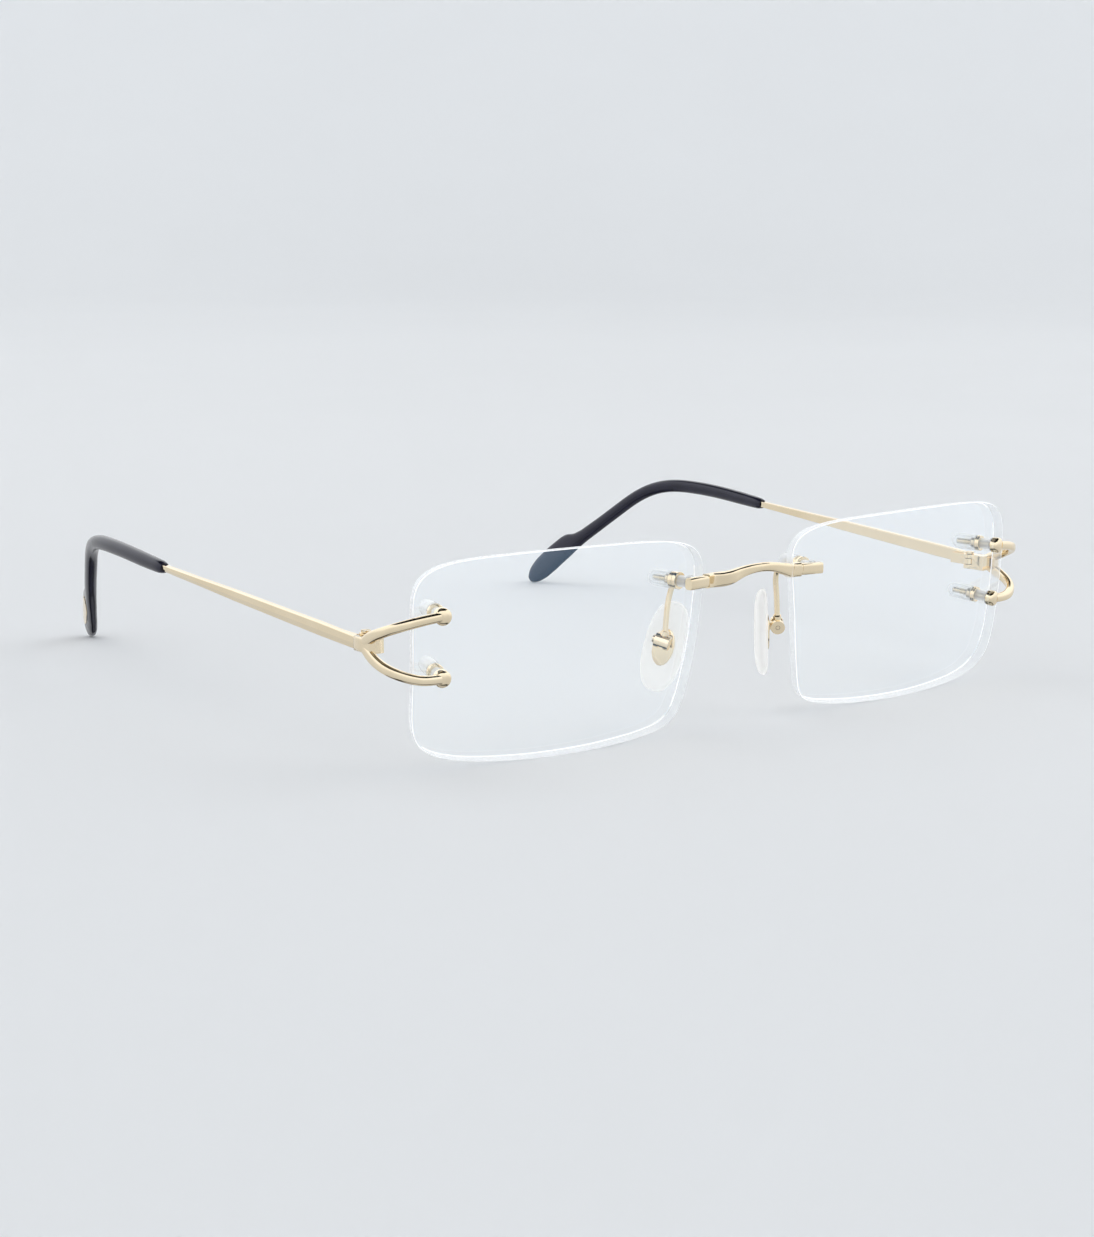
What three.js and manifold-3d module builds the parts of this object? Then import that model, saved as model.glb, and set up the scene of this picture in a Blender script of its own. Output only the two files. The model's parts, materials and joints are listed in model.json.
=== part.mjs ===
// Rimless eyeglasses: two drilled lenses bolted to a bridge and to two wishbone
// end pieces, folding temples with moulded tips, and rocking nose pads.
// Millimetres, +Z up. +X is the wearer's left, -Y is the way the glasses face.
// Every sub-part is made once for the left side; the right side is its mirror.
import * as THREE from 'three';
import { mergeVertices } from 'three/addons/utils/BufferGeometryUtils.js';
import Module from 'manifold-3d';

const wasm = await Module();
wasm.setup();

// ---- driving dimensions -------------------------------------------------
const LENS = { width: 55.4, height: 32.4, apart: 78.5, thickness: 2, baseRadius: 115 };
const LENS_SHAPE = {
  squareness: 6.7, noseCorner: 5, noseCut: 1.2, taper: 0.043, skew: -0.7, topBulge: 1.3, bottomBulge: 1.65,
};
const WRAP = THREE.MathUtils.degToRad(4); // each lens turns back at its temple edge
const TILT = THREE.MathUtils.degToRad(5); // the top of the front leans forward

// Mounting posts, as (u, v) on the lens measured from its centre.
const POST = { radius: 0.5, front: -2.65, back: 6.1 };
const CLEAR = 0.06; // radial clearance of a post in its holes
const MOUNTS = {
  nasal: { u: -25.1, v: 9.2, backStack: 0.85 },
  upper: { u: 23.4, v: 8.1, backStack: 0 },
  lower: { u: 23.2, v: -2.0, backStack: 0 },
};
const BOSS = { radius: 1.45, front: -3.15, back: -1.42 };
const HOLE_RADIUS = 1.0;

const HINGE = { x: 69.3, y: 14.6, z: 3.1, knuckle: 1.15, bore: 0.5, half: 1.4, gapHalf: 0.6 };
const BLADE = { thickness: 1.2, x: 71.2, startY: 14.5, height: 2.2 };
const JOIN_Y = 79.6; // where the blade enters its moulded tip
const CORE_RADIUS = 0.6;

const INLAY = { share: 0.885, rear: 0.7, halfLength: 5.4, halfWidth: 1.6, floor: 0.45, proud: 0.12 };

const PAD = { x: 11.1, y: 9.3, z: -3.7, height: 16.6, width: 7.5, squareness: 2.4, splay: 36, lean: 10.5 };
const PAD_BOX = { side: 2.6, slot: 1.0, screw: 0.35, neck: 1.9 };

// ---- materials ----------------------------------------------------------
const GOLD = new THREE.MeshStandardMaterial({ color: 0xe6c88f, metalness: 1, roughness: 0.12 });
const LENS_CLEAR = new THREE.MeshStandardMaterial({
  color: 0xf2f6f8, metalness: 0, roughness: 0.02, transparent: true, opacity: 0.25,
});
const CLEAR_PLASTIC = new THREE.MeshStandardMaterial({
  color: 0xf4f5f6, metalness: 0, roughness: 0.1, transparent: true, opacity: 0.5,
});
const SILICONE = new THREE.MeshStandardMaterial({
  color: 0xf1efee, metalness: 0, roughness: 0.35, transparent: true, opacity: 0.6,
});
const BLACK = new THREE.MeshStandardMaterial({ color: 0x23242a, metalness: 0, roughness: 0.25 });

// ---- geometry helpers ---------------------------------------------------
const vec = (x, y, z) => new THREE.Vector3(x, y, z);
const lerp = THREE.MathUtils.lerp;

// A closed solid through rings of points that each go round the same way.
function loft(rings) {
  const sides = rings[0].length;
  const points = rings.flat();
  const faces = [];
  for (let i = 0; i + 1 < rings.length; i += 1) {
    for (let j = 0; j < sides; j += 1) {
      const a = i * sides + j;
      const b = i * sides + ((j + 1) % sides);
      faces.push(a, b, b + sides, a, b + sides, a + sides);
    }
  }
  const last = (rings.length - 1) * sides;
  for (let j = 1; j + 1 < sides; j += 1) {
    faces.push(0, j + 1, j);
    faces.push(last, last + j, last + j + 1);
  }
  return new THREE.BufferGeometry().setFromPoints(points).setIndex(faces);
}

// Unit outline with squarer corners the higher its power is.
function roundLoop(sides, power) {
  return Array.from({ length: sides }, (_, i) => {
    const angle = (2 * Math.PI * (i + 0.5)) / sides;
    const c = Math.cos(angle);
    const s = Math.sin(angle);
    const r = (Math.abs(c) ** power + Math.abs(s) ** power) ** (-1 / power);
    return [r * c, r * s];
  });
}

// A closed solid through ovals across X, given as [x, half size in Y, half size in Z, rise].
function ovalStack(layers, sides, power = 2) {
  return loft(layers.map(([x, halfY, halfZ, rise = 0]) =>
    roundLoop(sides, power).map(([a, b]) => vec(x, halfY * a, halfZ * b + rise))));
}

// Lofts a loop along stations { at, across, up, loop }. `across` and `up` are the
// half sizes along `side` and along the direction square to side and path.
function sweep(stations, side) {
  const rings = stations.map((station, i) => {
    const before = stations[Math.max(i - 1, 0)].at;
    const after = stations[Math.min(i + 1, stations.length - 1)].at;
    const along = station.along ?? after.clone().sub(before).normalize();
    const sideways = (station.side ?? side).clone();
    sideways.addScaledVector(along, -sideways.dot(along)).normalize();
    const upwards = sideways.clone().cross(along);
    return station.loop.map(([a, b]) =>
      station.at.clone()
        .addScaledVector(sideways, a * station.across)
        .addScaledVector(upwards, b * (b > 0 ? station.up : station.down ?? station.up)));
  });
  return loft(rings.map((ring) => ring.reverse()));
}

function solidOf(geometry, matrix = new THREE.Matrix4()) {
  const plain = geometry.clone().applyMatrix4(matrix);
  plain.deleteAttribute('normal');
  plain.deleteAttribute('uv');
  const merged = mergeVertices(plain, 1e-4);
  return new wasm.Manifold(new wasm.Mesh({
    numProp: 3,
    vertProperties: merged.attributes.position.array,
    triVerts: new Uint32Array(merged.index.array),
  }));
}

function geometryOf(solid) {
  const mesh = solid.getMesh();
  return new THREE.BufferGeometry()
    .setAttribute('position', new THREE.BufferAttribute(mesh.vertProperties, 3))
    .setIndex(new THREE.BufferAttribute(mesh.triVerts, 1));
}

function box(x0, x1, y0, y1, z0, z1) {
  const shape = new THREE.BoxGeometry(x1 - x0, y1 - y0, z1 - z0);
  return shape.translate((x0 + x1) / 2, (y0 + y1) / 2, (z0 + z1) / 2);
}

function rod(radius, from, to, sides = 16) {
  return new THREE.CylinderGeometry(radius, radius, to - from, sides).translate(0, (from + to) / 2, 0);
}

function lathe(profile, sides = 20) {
  return new THREE.LatheGeometry(profile.map(([r, s]) => new THREE.Vector2(r, s)), sides);
}

function part(name, geometry, material) {
  const mesh = new THREE.Mesh(geometry, material);
  mesh.name = name;
  return mesh;
}

// ---- lens ---------------------------------------------------------------
const LENS_POSE = new THREE.Matrix4().makeTranslation(LENS.apart / 2, 0, 0)
  .multiply(new THREE.Matrix4().makeRotationX(TILT))
  .multiply(new THREE.Matrix4().makeRotationZ(WRAP));

// Point of the lens at (u, v) on its middle surface, moved `depth` backwards.
function lensPoint(u, v, depth) {
  const centre = vec(0, LENS.baseRadius, 0);
  const middle = vec(u, LENS.baseRadius - Math.sqrt(LENS.baseRadius ** 2 - u * u - v * v), v);
  return middle.lerp(centre, depth / LENS.baseRadius);
}

// The lower corner beside the nose is sharper than the others.
function lensOutline(steps) {
  const { squareness, noseCorner, noseCut, taper, skew, topBulge, bottomBulge } = LENS_SHAPE;
  return Array.from({ length: steps }, (_, i) => {
    const angle = (2 * Math.PI * i) / steps;
    const c = Math.cos(angle);
    const s = Math.sin(angle);
    const n = squareness + (c < 0 && s < 0 ? noseCorner * (2 * c * s) ** 2 : 0);
    const r = (Math.abs(c) ** n + Math.abs(s) ** n) ** (-1 / n);
    const u = r * c;
    const v = r * s;
    const bulge = v > 0 ? topBulge : bottomBulge;
    const cut = v > 0 ? 0 : (noseCut * v * v * (1 - u)) / 2;
    return [
      (u * LENS.width * (1 + taper * v)) / 2 + skew * v + cut,
      (v * LENS.height) / 2 + bulge * (1 - u * u) * v,
    ];
  });
}

function lensGeometry() {
  const outline = lensOutline(96);
  const shares = [0.15, 0.4, 0.62, 0.82, 1];
  const half = LENS.thickness / 2;
  const ring = (share, depth) => outline.map(([u, v]) => lensPoint(u * share, v * share, depth));
  const back = shares.map((share) => ring(share, half));
  const front = shares.map((share) => ring(share, -half)).reverse();
  return loft([...back, ...front]);
}

// Frame of a mounting post: origin in the lens, +Y backwards along the post.
function mountMatrix({ u, v }) {
  const back = lensPoint(u, v, 1).sub(lensPoint(u, v, 0)).normalize();
  const turn = new THREE.Quaternion().setFromUnitVectors(vec(0, 1, 0), back);
  return new THREE.Matrix4().compose(lensPoint(u, v, 0), turn, vec(1, 1, 1));
}

const postMatrix = (mount) => LENS_POSE.clone().multiply(mountMatrix(mount));
const onPost = (mount, distance) => vec(0, distance, 0).applyMatrix4(postMatrix(mount));

function drilledLens(side) {
  let solid = solidOf(lensGeometry());
  for (const mount of Object.values(MOUNTS)) {
    solid = solid.subtract(solidOf(rod(HOLE_RADIUS, -3, 3, 20), mountMatrix(mount)));
  }
  return part(`lens_${side}`, geometryOf(solid), LENS_CLEAR);
}

// ---- the stack of small parts on each post ------------------------------
function postStack(where, side) {
  const { backStack } = MOUNTS[where];
  const bore = POST.radius + CLEAR;
  const face = LENS.thickness / 2;
  const nut = face + 0.08 + backStack;
  const capFrom = nut + 1.0;
  const stack = new THREE.Group();
  stack.add(part(`post_${where}_${side}`, rod(POST.radius, POST.front, POST.back + backStack), GOLD));
  stack.add(part(`bush_${where}_${side}`, lathe([
    [bore, BOSS.back + 0.04], [1.3, BOSS.back + 0.04], [1.3, -face - 0.04],
    [HOLE_RADIUS - CLEAR, -face - 0.04], [HOLE_RADIUS - CLEAR, face], [bore, face],
    [bore, BOSS.back + 0.04],
  ]), CLEAR_PLASTIC));
  stack.add(part(`nut_${where}_${side}`, lathe([
    [bore, nut], [1.35, nut], [1.45, nut + 0.1], [1.45, nut + 0.75], [1.35, nut + 0.85],
    [0.98, nut + 0.85], [0.98, nut + 1.85], [bore, nut + 1.85], [bore, nut],
  ]), GOLD));
  stack.add(part(`cap_${where}_${side}`, lathe([
    [1.05, capFrom], [1.42, capFrom], [1.5, capFrom + 0.1], [1.45, capFrom + 3.7],
    [1.2, capFrom + 4.5], [0.7, capFrom + 5], [0, capFrom + 5.2], [0, capFrom + 4.3],
    [0.62, capFrom + 4.2], [0.62, capFrom + 0.92], [1.05, capFrom + 0.92], [1.05, capFrom],
  ]), CLEAR_PLASTIC));
  stack.applyMatrix4(mountMatrix(MOUNTS[where]));
  return stack;
}

const boss = (mount, radius = BOSS.radius) => solidOf(lathe([
  [0, BOSS.front], [radius * 0.6, BOSS.front + 0.06], [radius * 0.92, BOSS.front + 0.3],
  [radius, BOSS.front + 0.62], [radius, BOSS.back], [0, BOSS.back],
]), postMatrix(mount));

const postHole = (mount) => solidOf(rod(POST.radius + CLEAR, POST.front - 0.06, 0), postMatrix(mount));

// ---- bridge -------------------------------------------------------------
// Stations of half the bridge, from its middle to its tab over the lens.
function bridgeStations() {
  const middle = (BOSS.front + BOSS.back) / 2;
  const nasal = postMatrix(MOUNTS.nasal);
  const tabAlong = vec(1, 0, 0).transformDirection(nasal);
  const onTab = (x, across, up, forward = 0) => ({
    at: vec(x, middle - forward, 0).applyMatrix4(nasal), along: tabAlong, across, up,
  });
  const top = onTab(0).at.z;
  const arch = [
    [0, -3.0, 1.65, 0.75, 0.8],
    [2.4, -2.95, 1.5, 0.75, 0.82],
    [4.8, -2.8, 1.0, 0.78, 0.98],
    [7, -2.6, 0.4, 0.8, 1.2],
  ].map(([x, y, rise, across, up]) => ({ at: vec(x, y, top + rise), along: vec(1, 0, 0), across, up }));
  return [...arch, onTab(-5.2, 0.82, 1.25, 0.1), onTab(-2.9, 0.82, 1.22), onTab(-2.5, 0.8, 1.02),
    onTab(1.5, 0.8, 1.02)];
}

function bridge() {
  const loop = roundLoop(12, 3.2);
  const half = bridgeStations();
  const mirrored = half.slice(1).reverse().map((station) => ({
    ...station,
    at: station.at.clone().setX(-station.at.x),
    along: station.along.clone().multiply(vec(1, -1, -1)),
  }));
  const bar = sweep([...mirrored, ...half].map((station) => ({ ...station, loop })), vec(0, 1, 0));
  const hole = postHole(MOUNTS.nasal);
  const otherHole = hole.transform(new THREE.Matrix4().makeScale(-1, 1, 1).toArray());
  return part('bridge', geometryOf(solidOf(bar).subtract(hole).subtract(otherHole)), GOLD);
}

// ---- forked end piece ---------------------------------------------------
// Centreline of one arm in plan, from the stem round the lens edge, with its
// rise above or below the stem and its half sizes: [x, y, rise, across, up].
const ARM_PLAN = [
  [71.3, 12.2, 0.3, 0.58, 0.92],
  [71.5, 9.8, 1.5, 0.62, 1.0],
  [71.4, 7.4, 2.5, 0.68, 0.92],
  [70.6, 5.2, 3.4, 0.74, 0.88],
  [69.0, 3.4, 4.2, 0.78, 0.86],
  [66.8, 2.3, 4.8, 0.8, 0.84],
];

function arm(mount) {
  const away = mount.v > 0 ? 1 : -1;
  const tip = onPost(mount, (BOSS.front + BOSS.back) / 2);
  const plan = [...ARM_PLAN, [tip.x + 0.5, tip.y, Math.abs(tip.z - HINGE.z), 0.78, 0.82]];
  const loop = roundLoop(10, 2.6);
  const stations = plan.map(([x, y, rise, across, up]) => ({
    at: vec(x, y, HINGE.z + away * rise), across, up, loop,
  }));
  stations.forEach((station, i) => {
    const before = stations[Math.max(i - 1, 0)].at;
    const after = stations[Math.min(i + 1, stations.length - 1)].at;
    station.side = vec(before.y - after.y, after.x - before.x, 0).normalize();
  });
  return solidOf(sweep(stations));
}

function endPiece(side) {
  const loop = roundLoop(12, 4);
  const stations = [[14.4, 1.25, 0.6], [11.6, 1.25, 0.6], [10.2, 1.35, 0.6], [9.4, 1.1, 0.56]]
    .map(([y, up, across]) => ({ at: vec(71.35, y, HINGE.z), up, across, loop }));
  let solid = solidOf(sweep(stations, vec(1, 0, 0)));
  for (const mount of [MOUNTS.upper, MOUNTS.lower]) {
    solid = solid.add(arm(mount)).add(boss(mount));
  }
  for (const mount of [MOUNTS.upper, MOUNTS.lower]) solid = solid.subtract(postHole(mount));
  return part(`end_piece_${side}`, geometryOf(solid), GOLD);
}

// ---- hinge --------------------------------------------------------------
const onHinge = new THREE.Matrix4().makeTranslation(HINGE.x, HINGE.y, HINGE.z)
  .multiply(new THREE.Matrix4().makeRotationX(Math.PI / 2)); // +Y of a rod becomes +Z

const hingeRod = (radius, from, to) => solidOf(rod(radius, from, to, 20), onHinge);

function frontLeaf(side) {
  const { x, y, z, half, gapHalf, knuckle } = HINGE;
  const face = BLADE.x - BLADE.thickness / 2 - 0.02;
  let solid = solidOf(box(x - 0.75, face, y - 4.2, y - knuckle - 0.12, z - half, z + half));
  for (const [low, high] of [[gapHalf, half], [-half, -gapHalf]]) {
    solid = solid.add(hingeRod(knuckle, low, high));
    solid = solid.add(solidOf(box(x - 0.75, x + 1.1, y - knuckle - 0.5, y, z + low, z + high)));
  }
  return part(`hinge_front_${side}`, geometryOf(solid.subtract(hingeRod(HINGE.bore, -4, 4))), GOLD);
}

function templeLeaf(side) {
  const { x, y, z, gapHalf, knuckle } = HINGE;
  const reach = gapHalf - 0.06;
  const face = BLADE.x - BLADE.thickness / 2 - 0.08;
  let solid = hingeRod(knuckle, -reach, reach);
  solid = solid.add(solidOf(box(x - 0.2, face, y + 0.1, y + 2.4, z - reach, z + reach)));
  solid = solid.add(solidOf(box(face - 0.75, face, y + 1.5, y + 5.6, z - 1, z + 1)));
  return part(`hinge_temple_${side}`, geometryOf(solid.subtract(hingeRod(HINGE.bore, -4, 4))), GOLD);
}

function hingeScrew(side) {
  const { half } = HINGE;
  let solid = hingeRod(HINGE.bore - CLEAR, -half - 0.15, half + 0.3);
  solid = solid.add(hingeRod(0.86, half + 0.06, half + 0.45));
  const slot = solidOf(box(-1.2, 1.2, -0.12, 0.12, half + 0.25, half + 1),
    new THREE.Matrix4().makeTranslation(HINGE.x, HINGE.y, HINGE.z));
  return part(`hinge_screw_${side}`, geometryOf(solid.subtract(slot)), GOLD);
}

// ---- temple -------------------------------------------------------------
// Flat outside with one bevel below it, flat inside.
const BLADE_LOOP = [
  [1, -0.1], [1, 0.9], [0.84, 1], [-0.84, 1], [-1, 0.9], [-1, -0.9], [-0.84, -1], [0.4, -1],
];

// Centreline of a moulded tip: along the temple, over the ear, down and inwards.
const TIP_PATH = new THREE.CatmullRomCurve3([
  vec(72.2, JOIN_Y, 6.7), vec(72.3, 88, 7.3), vec(72.1, 96, 7.8), vec(71.6, 103.5, 7.95),
  vec(70.8, 109.3, 7.65), vec(69.7, 114, 6.6), vec(68.3, 118.2, 4.6), vec(66.4, 122.8, 1.2),
  vec(64.2, 127.9, -2.9), vec(61.8, 133.2, -7.2), vec(59.5, 138.4, -11.4), vec(57.2, 143.6, -16.25),
  vec(56.8, 144.6, -17.25),
], false, 'centripetal');

function bladeStations() {
  const end = TIP_PATH.getPoint(0);
  return [[0, BLADE.height], [0.17, 2.35], [0.6, 1.95], [0.8, 1.5], [1, 1.2]].map(([share, height]) => ({
    at: vec(lerp(BLADE.x, end.x, share), lerp(BLADE.startY, JOIN_Y - 0.15, share),
      lerp(HINGE.z, end.z, share)),
    across: BLADE.thickness / 2,
    up: height / 2,
    loop: BLADE_LOOP,
  }));
}

function coreStations(radius, from, to, steps) {
  const loop = roundLoop(8, 2);
  return Array.from({ length: steps + 1 }, (_, i) => {
    const t = lerp(from, to, i / steps);
    const at = TIP_PATH.getPointAt(t);
    return { at, along: TIP_PATH.getTangentAt(t), across: radius, up: radius, loop };
  });
}

function temple(side) {
  const blade = solidOf(sweep(bladeStations(), vec(1, 0, 0)));
  const core = solidOf(sweep([
    { ...coreStations(CORE_RADIUS, 0, 1, 1)[0], at: TIP_PATH.getPoint(0).add(vec(0, -1.5, -0.05)) },
    ...coreStations(CORE_RADIUS, 0, 0.78, 20),
  ], vec(1, 0, 0)));
  return part(`temple_${side}`, geometryOf(blade.add(core)), GOLD);
}

// Half sizes of a tip along its path: [share, half thickness, towards the front, towards the rear].
const TIP_SIZES = [
  [0, 0.9, 0.9, 0.9], [0.01, 1.15, 1.15, 1.15], [0.03, 1.25, 1.25, 1.25], [0.1, 1.3, 1.35, 1.35],
  [0.25, 1.3, 1.4, 1.4], [0.4, 1.3, 1.4, 1.4], [0.55, 1.22, 1.35, 1.35], [0.68, 1.18, 1.4, 1.35],
  [0.755, 1.15, 1.45, 1.5], [0.785, 1.12, 1.6, 1.9], [0.81, 1.1, 1.85, 2.9], [0.83, 1.1, 2.1, 3.15],
  [0.9, 1.1, 2.6, 3.0], [0.945, 1.08, 2.6, 2.75], [0.975, 0.98, 2.1, 2.2], [0.992, 0.8, 1.4, 1.5],
  [1, 0.5, 0.8, 0.9],
];

function tipSolid(grow = 0) {
  const loop = roundLoop(14, 2.3);
  const stations = [];
  TIP_SIZES.forEach(([share, across, front, rear], i) => {
    const next = TIP_SIZES[Math.min(i + 1, TIP_SIZES.length - 1)];
    const steps = Math.max(1, Math.round((next[0] - share) / 0.05));
    for (let k = 0; k < steps; k += 1) {
      const w = k / steps;
      const t = lerp(share, next[0], w);
      stations.push({
        at: TIP_PATH.getPointAt(t), along: TIP_PATH.getTangentAt(t), loop,
        across: lerp(across, next[1], w) + grow, down: lerp(front, next[2], w), up: lerp(rear, next[3], w),
      });
    }
  });
  return solidOf(sweep(stations, vec(1, 0, 0)));
}

// An upright oval prism at the flat end of a tip, from `floor` outwards.
function inlayPrism(grow, floor) {
  const along = TIP_PATH.getTangentAt(INLAY.share);
  const outwards = vec(1, 0, 0).addScaledVector(along, -along.x).normalize();
  const pose = new THREE.Matrix4().makeBasis(outwards, along, outwards.clone().cross(along))
    .setPosition(TIP_PATH.getPointAt(INLAY.share));
  const size = [INLAY.halfLength + grow, INLAY.halfWidth + grow, INLAY.rear];
  return solidOf(ovalStack([[floor, ...size], [3, ...size]], 28), pose);
}

function tip(side) {
  const bore = sweep([
    { ...coreStations(CORE_RADIUS + 0.12, 0, 1, 1)[0], at: TIP_PATH.getPoint(0).add(vec(0, -1, -0.05)) },
    ...coreStations(CORE_RADIUS + 0.12, 0, 0.8, 20),
  ], vec(1, 0, 0));
  const solid = tipSolid().subtract(solidOf(bore)).subtract(inlayPrism(0.04, INLAY.floor));
  return part(`temple_tip_${side}`, geometryOf(solid), BLACK);
}

function tipInlay(side) {
  const solid = tipSolid(INLAY.proud).intersect(inlayPrism(0, INLAY.floor + 0.04));
  return part(`tip_inlay_${side}`, geometryOf(solid), GOLD);
}

// ---- nose pad and its arm -----------------------------------------------
// Pad frame: +X towards the nose, +Y backwards in the pad's plane, +Z up the pad.
const PAD_POSE = new THREE.Matrix4().makeTranslation(PAD.x, PAD.y, PAD.z)
  .multiply(new THREE.Matrix4().makeRotationY(-THREE.MathUtils.degToRad(PAD.lean)))
  .multiply(new THREE.Matrix4().makeRotationX(THREE.MathUtils.degToRad(PAD.lean)))
  .multiply(new THREE.Matrix4().makeRotationZ(THREE.MathUtils.degToRad(180 - PAD.splay)));
const PIVOT = vec(-2.9, 0, 1.3); // the pad screw, in the pad frame
const PIVOT_POSE = PAD_POSE.clone().multiply(new THREE.Matrix4().makeTranslation(PIVOT.x, PIVOT.y, PIVOT.z));

function nosePad(side) {
  const halfY = PAD.width / 2;
  const halfZ = PAD.height / 2;
  const pad = part(`nose_pad_${side}`, ovalStack([
    [-1.0, halfY * 0.7, halfZ * 0.82], [-0.9, halfY * 0.9, halfZ * 0.95], [-0.4, halfY, halfZ],
    [0.1, halfY * 0.97, halfZ * 0.98], [0.7, halfY * 0.8, halfZ * 0.88], [1.1, halfY * 0.5, halfZ * 0.66],
    [1.25, halfY * 0.2, halfZ * 0.3],
  ], 28, PAD.squareness), SILICONE);
  pad.applyMatrix4(PAD_POSE);
  return pad;
}

function padPlate(side) {
  let solid = solidOf(ovalStack([[-1.36, 1.75, 3.2], [-1.28, 1.95, 3.4], [-1.06, 1.95, 3.4]], 20));
  solid = solid.add(solidOf(box(PIVOT.x, -1.2, -0.42, 0.42, PIVOT.z - 0.7, PIVOT.z + 0.7)));
  solid = solid.add(solidOf(rod(0.8, -0.42, 0.42), new THREE.Matrix4().makeTranslation(PIVOT.x, 0, PIVOT.z)));
  solid = solid.subtract(solidOf(rod(PAD_BOX.screw + CLEAR, -2, 2, 12),
    new THREE.Matrix4().makeTranslation(PIVOT.x, 0, PIVOT.z)));
  const plate = part(`pad_plate_${side}`, geometryOf(solid), GOLD);
  plate.applyMatrix4(PAD_POSE);
  return plate;
}

function padBox(side) {
  const half = PAD_BOX.side / 2;
  const slot = PAD_BOX.slot / 2;
  let solid = solidOf(rod(half, -half, half, 20));
  solid = solid.add(solidOf(rod(0.75, 0.6, PAD_BOX.neck), new THREE.Matrix4().makeRotationX(Math.PI / 2)));
  solid = solid.subtract(solidOf(box(-0.95, 3, -slot, slot, -3, 1.1)));
  solid = solid.subtract(solidOf(rod(PAD_BOX.screw + CLEAR, -3, 3, 12)));
  const body = part(`pad_box_${side}`, geometryOf(solid), GOLD);
  body.applyMatrix4(PIVOT_POSE);
  return body;
}

function padScrew(side) {
  const half = PAD_BOX.side / 2;
  let solid = solidOf(rod(PAD_BOX.screw, -half - 0.3, half, 12));
  solid = solid.add(solidOf(rod(0.7, -half - 0.5, -half - 0.05, 14)));
  solid = solid.subtract(solidOf(box(-1, 1, -half - 0.8, -half - 0.3, -0.1, 0.1)));
  const screw = part(`pad_screw_${side}`, geometryOf(solid), GOLD);
  screw.applyMatrix4(PIVOT_POSE);
  return screw;
}

function padArm(side) {
  const eyelet = LENS.thickness / 2 + 0.08;
  const ring = solidOf(lathe([
    [POST.radius + CLEAR, eyelet], [1.5, eyelet], [1.5, eyelet + 0.75],
    [POST.radius + CLEAR, eyelet + 0.75], [POST.radius + CLEAR, eyelet],
  ]), postMatrix(MOUNTS.nasal));
  const start = onPost(MOUNTS.nasal, eyelet + 0.42);
  const foot = vec(0, 0, PAD_BOX.neck - 0.3).applyMatrix4(PIVOT_POSE);
  const path = new THREE.CatmullRomCurve3([
    vec(start.x - 0.9, start.y + 0.1, start.z), vec(start.x - 2.0, start.y + 1.2, start.z - 0.1),
    vec(start.x - 2.3, start.y + 3.4, start.z - 0.6), vec(start.x - 2.2, start.y + 4.4, start.z - 2.0),
    vec(start.x - 1.7, start.y + 4.9, start.z - 5.2), foot,
  ]);
  const loop = roundLoop(10, 2);
  const steps = 22;
  const stations = Array.from({ length: steps + 1 }, (_, i) => ({
    at: path.getPointAt(i / steps), along: path.getTangentAt(i / steps), across: 0.5, up: 0.5, loop,
  }));
  const wire = solidOf(sweep(stations, vec(1, 0.3, 0)));
  const room = solidOf(box(-2, 2, -2, 2, -3, PAD_BOX.neck + 0.06), PIVOT_POSE);
  const nut = solidOf(rod(1.6, eyelet + 0.8, eyelet + 3), postMatrix(MOUNTS.nasal));
  const solid = ring.add(wire).subtract(room).subtract(nut)
    .subtract(solidOf(rod(POST.radius + CLEAR, -4, 8), postMatrix(MOUNTS.nasal)));
  return part(`pad_arm_${side}`, geometryOf(solid), GOLD);
}

// ---- assembly -----------------------------------------------------------
function halfOf(side) {
  const half = new THREE.Group();
  const lensGroup = new THREE.Group();
  lensGroup.add(drilledLens(side));
  for (const where of Object.keys(MOUNTS)) lensGroup.add(postStack(where, side));
  lensGroup.applyMatrix4(LENS_POSE);
  half.add(lensGroup);
  half.add(endPiece(side), frontLeaf(side), templeLeaf(side), hingeScrew(side));
  half.add(temple(side), tip(side), tipInlay(side));
  half.add(padArm(side), padBox(side), padScrew(side), padPlate(side), nosePad(side));
  return half;
}

const glasses = new THREE.Group();
glasses.add(bridge(), halfOf('left'));
const rightHalf = halfOf('right');
rightHalf.scale.x = -1;
glasses.add(rightHalf);

// The origin is under the middle of the glasses, on the surface they stand on.
const bounds = new THREE.Box3().setFromObject(glasses, true);
glasses.position.set(0, -(bounds.min.y + bounds.max.y) / 2, -bounds.min.z);

export default glasses;
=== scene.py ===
"""Looks of the rimless eyeglasses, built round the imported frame. Shapes are in mm until placed."""

import json
import math

import bmesh
import bpy
import numpy as np
from mathutils import Matrix, Vector

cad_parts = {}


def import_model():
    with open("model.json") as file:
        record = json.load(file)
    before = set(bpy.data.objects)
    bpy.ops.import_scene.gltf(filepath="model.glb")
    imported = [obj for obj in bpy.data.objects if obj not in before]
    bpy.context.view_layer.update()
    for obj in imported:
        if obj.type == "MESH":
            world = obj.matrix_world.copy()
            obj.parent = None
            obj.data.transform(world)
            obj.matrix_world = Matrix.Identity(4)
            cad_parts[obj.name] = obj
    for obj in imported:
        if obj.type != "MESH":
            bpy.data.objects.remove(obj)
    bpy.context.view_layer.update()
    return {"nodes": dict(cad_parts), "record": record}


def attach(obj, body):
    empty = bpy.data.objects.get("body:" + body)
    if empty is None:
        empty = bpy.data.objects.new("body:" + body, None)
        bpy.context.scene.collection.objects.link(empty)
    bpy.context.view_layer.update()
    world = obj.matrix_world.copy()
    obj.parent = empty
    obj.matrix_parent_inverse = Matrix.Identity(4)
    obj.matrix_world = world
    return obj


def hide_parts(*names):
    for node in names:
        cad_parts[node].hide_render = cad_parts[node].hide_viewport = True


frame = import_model()

MM = 0.001
SIDES = ("left", "right")
HINGE = Vector((69.3, 14.6, 3.1))
JOINTS = {joint["name"]: joint for joint in frame["record"]["behaviour"]["joints"]}
SHIFT = Vector(JOINTS["left_temple_fold"]["pos_m"]) / MM - HINGE

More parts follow.
